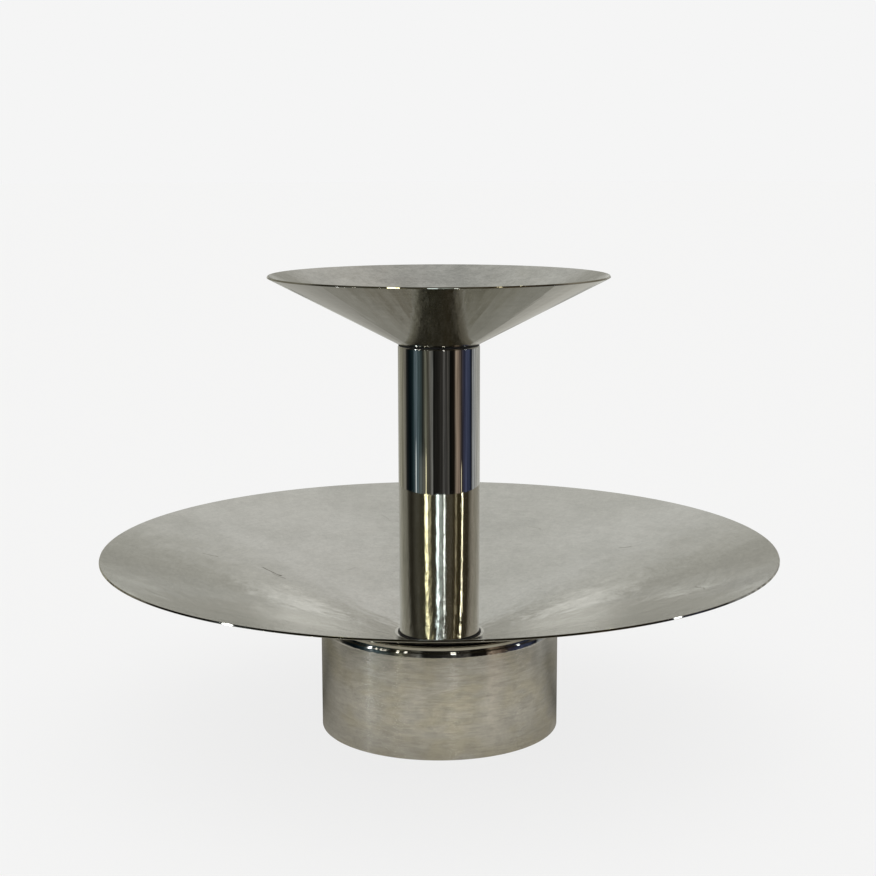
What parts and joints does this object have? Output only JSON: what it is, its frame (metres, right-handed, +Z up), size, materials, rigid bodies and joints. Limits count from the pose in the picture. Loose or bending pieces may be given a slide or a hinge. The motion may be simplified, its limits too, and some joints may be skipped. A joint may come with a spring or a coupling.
{
  "type": "tiered centrepiece stand",
  "caption": "Tiered metal serving stand: a wide shallow cone dish on a weighted drum foot, and a polished column with a small cone dish that lifts off.",
  "frame": {"origin": "centre of the face that the stand rests on", "axes": "+Z up along the column, the stand is turned about it, so +X and +Y are free"},
  "size_m": [0.3998, 0.3998, 0.2708],
  "materials": {
    "satin_dish": "stainless steel sheet, fine satin, lightly handled",
    "satin_drum": "stainless steel sheet, brushed around the drum",
    "polished_column": "stainless steel tube, mirror polished",
    "plain_steel": "turned steel, unpolished",
    "cast_weight": "cast iron, black",
    "zinc_plate": "bright zinc plate",
    "black_rubber": "black nitrile rubber",
    "felt": "black wool felt"
  },
  "bodies": {
    "stand": {"base_drum": "satin_drum", "ledge_ring": "plain_steel", "base_weight": "cast_weight", "felt_pad": "felt", "neck_gasket": "black_rubber", "lower_dish": "satin_dish", "column_gasket": "black_rubber", "column_foot_plug": "plain_steel", "column_tube": "polished_column", "column_socket": "plain_steel", "tie_rod": "zinc_plate", "top_washer": "zinc_plate", "top_nut": "zinc_plate", "bottom_washer": "zinc_plate", "lock_washer": "zinc_plate", "bottom_nut": "zinc_plate"},
    "seal_rings": {"dish_gasket": "black_rubber", "spigot_ring": "black_rubber"},
    "upper_tier": {"upper_dish": "satin_dish", "dish_spigot": "plain_steel"}
  },
  "joints": [
    {"name": "upper_dish_lift", "type": "slide", "parent": "stand", "child": "seal_rings", "axis": [0, 0, 1], "range_m": [0, 0.05]},
    {"name": "upper_dish_turn", "type": "hinge", "parent": "seal_rings", "child": "upper_tier", "pos_m": [0, 0, 0.23049], "axis": [0, 0, 1], "continuous": true}
  ]
}
